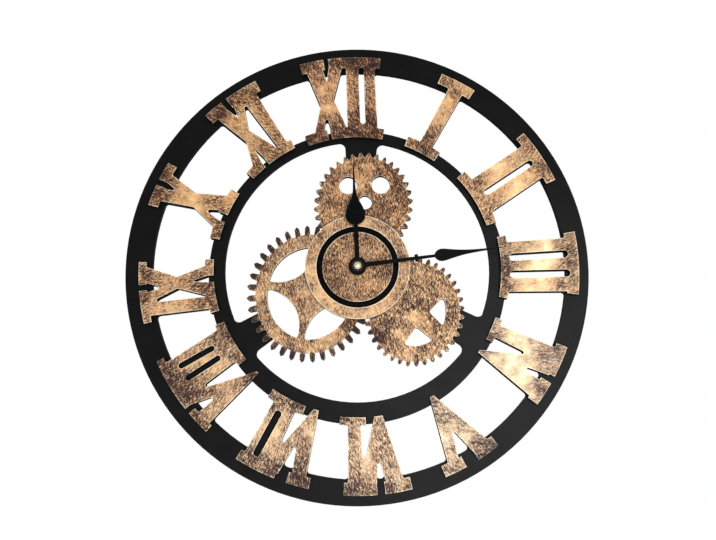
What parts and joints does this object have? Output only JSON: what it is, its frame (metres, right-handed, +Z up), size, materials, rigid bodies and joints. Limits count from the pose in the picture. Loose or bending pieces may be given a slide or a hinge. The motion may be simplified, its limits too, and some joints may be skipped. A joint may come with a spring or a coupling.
{
  "type": "wall clock",
  "caption": "Round skeleton wall clock: a cut ring dial with raised Roman numerals, fixed gear ornaments round the hub, two hands and a battery movement behind.",
  "frame": {"origin": "on the arbor axis, at the plane of the wall that the movement's back lies against", "axes": "+Z up towards XII, +X towards III, -Y out of the wall towards the viewer"},
  "size_m": [0.4, 0.0368, 0.3999],
  "materials": {
    "black_board": "mdf board painted satin black, edges too",
    "bronze_overlay": "thin wooden overlay with a brushed bronze face and pale edges",
    "black_disc": "satin black centre disc",
    "black_hand": "stamped sheet, gloss black",
    "case_plastic": "fine textured black plastic",
    "wheel_plastic": "natural white acetal",
    "knob_plastic": "pale acetal knob",
    "brass_metal": "turned brass",
    "bright_cap": "polished domed brass cap",
    "washer_rubber": "black rubber",
    "plain_steel": "plain nickel plated spring steel",
    "soft_iron": "stamped soft iron",
    "magnet_dark": "dark sintered magnet",
    "copper_wire": "fine enamelled copper winding",
    "circuit_green": "green circuit board",
    "chip_resin": "black resin drop",
    "cell_sleeve": "plain sleeve over a steel cell"
  },
  "bodies": {
    "base": {"dial_board": "black_board", "numeral_i": "bronze_overlay", "numeral_ii": "bronze_overlay", "numeral_iii": "bronze_overlay", "numeral_iv": "bronze_overlay", "numeral_v": "bronze_overlay", "numeral_vi": "bronze_overlay", "numeral_vii": "bronze_overlay", "numeral_viii": "bronze_overlay", "numeral_ix": "bronze_overlay", "numeral_x": "bronze_overlay", "numeral_xi": "bronze_overlay", "numeral_xii": "bronze_overlay", "top_gear": "bronze_overlay", "left_gear": "bronze_overlay", "right_gear": "bronze_overlay", "hub_spacer": "black_board", "centre_disc": "black_disc", "centre_rim": "bronze_overlay", "centre_plate": "bronze_overlay", "movement_case": "case_plastic", "back_cover": "case_plastic", "threaded_bush": "brass_metal", "rubber_washer": "washer_rubber", "brass_washer": "brass_metal", "hex_nut": "brass_metal", "middle_plate": "wheel_plastic", "train_bridge": "wheel_plastic", "stator": "soft_iron", "coil_core": "soft_iron", "coil": "copper_wire", "circuit_board": "circuit_green", "chip": "chip_resin", "crystal": "plain_steel", "battery": "cell_sleeve", "positive_contact": "plain_steel", "negative_contact": "plain_steel"},
    "minute_hands": {"minute_arbor": "brass_metal", "minute_hand": "black_hand", "hand_cap": "bright_cap"},
    "hour_hands": {"hour_wheel": "wheel_plastic", "hour_hand": "black_hand"},
    "minute_wheel_body": {"minute_wheel": "wheel_plastic"},
    "knob_body": {"setting_knob": "knob_plastic"},
    "centre_wheel_body": {"centre_wheel": "wheel_plastic"},
    "third_wheel_body": {"third_wheel": "wheel_plastic"},
    "second_wheel_body": {"second_wheel": "wheel_plastic"},
    "fifth_wheel_body": {"fifth_wheel": "wheel_plastic"},
    "rotor_body": {"rotor": "wheel_plastic", "rotor_magnet": "magnet_dark"}
  },
  "joints": [
    {"name": "minute_turn", "type": "hinge", "parent": "base", "child": "minute_hands", "pos_m": [0, 0, 0], "axis": [0, 1, 0], "continuous": true},
    {"name": "hour_turn", "type": "hinge", "parent": "base", "child": "hour_hands", "pos_m": [0, 0, 0], "axis": [0, 1, 0], "continuous": true},
    {"name": "minute_wheel_turn", "type": "hinge", "parent": "base", "child": "minute_wheel_body", "pos_m": [-0.01039, 0, 0.006], "axis": [0, 1, 0], "continuous": true},
    {"name": "setting_knob_turn", "type": "hinge", "parent": "base", "child": "knob_body", "pos_m": [-0.01811, 0, 0.01519], "axis": [0, 1, 0], "continuous": true},
    {"name": "centre_wheel_turn", "type": "hinge", "parent": "base", "child": "centre_wheel_body", "pos_m": [0, 0, 0], "axis": [0, 1, 0], "continuous": true},
    {"name": "third_wheel_turn", "type": "hinge", "parent": "base", "child": "third_wheel_body", "pos_m": [0, 0, 0.0115], "axis": [0, 1, 0], "continuous": true},
    {"name": "second_wheel_turn", "type": "hinge", "parent": "base", "child": "second_wheel_body", "pos_m": [0, 0, 0], "axis": [0, 1, 0], "continuous": true},
    {"name": "fifth_wheel_turn", "type": "hinge", "parent": "base", "child": "fifth_wheel_body", "pos_m": [0.00886, 0, -0.00156], "axis": [0, 1, 0], "continuous": true},
    {"name": "rotor_turn", "type": "hinge", "parent": "base", "child": "rotor_body", "pos_m": [0.01574, 0, 0.00326], "axis": [0, 1, 0], "continuous": true}
  ],
  "couplings": [
    {"joint": "hour_turn", "follows": "minute_turn", "ratio": 0.083333},
    {"joint": "minute_wheel_turn", "follows": "minute_turn", "ratio": -0.33333},
    {"joint": "setting_knob_turn", "follows": "minute_turn", "ratio": 1},
    {"joint": "third_wheel_turn", "follows": "centre_wheel_turn", "ratio": -8},
    {"joint": "second_wheel_turn", "follows": "centre_wheel_turn", "ratio": 60},
    {"joint": "fifth_wheel_turn", "follows": "centre_wheel_turn", "ratio": -300},
    {"joint": "rotor_turn", "follows": "centre_wheel_turn", "ratio": 1800}
  ]
}
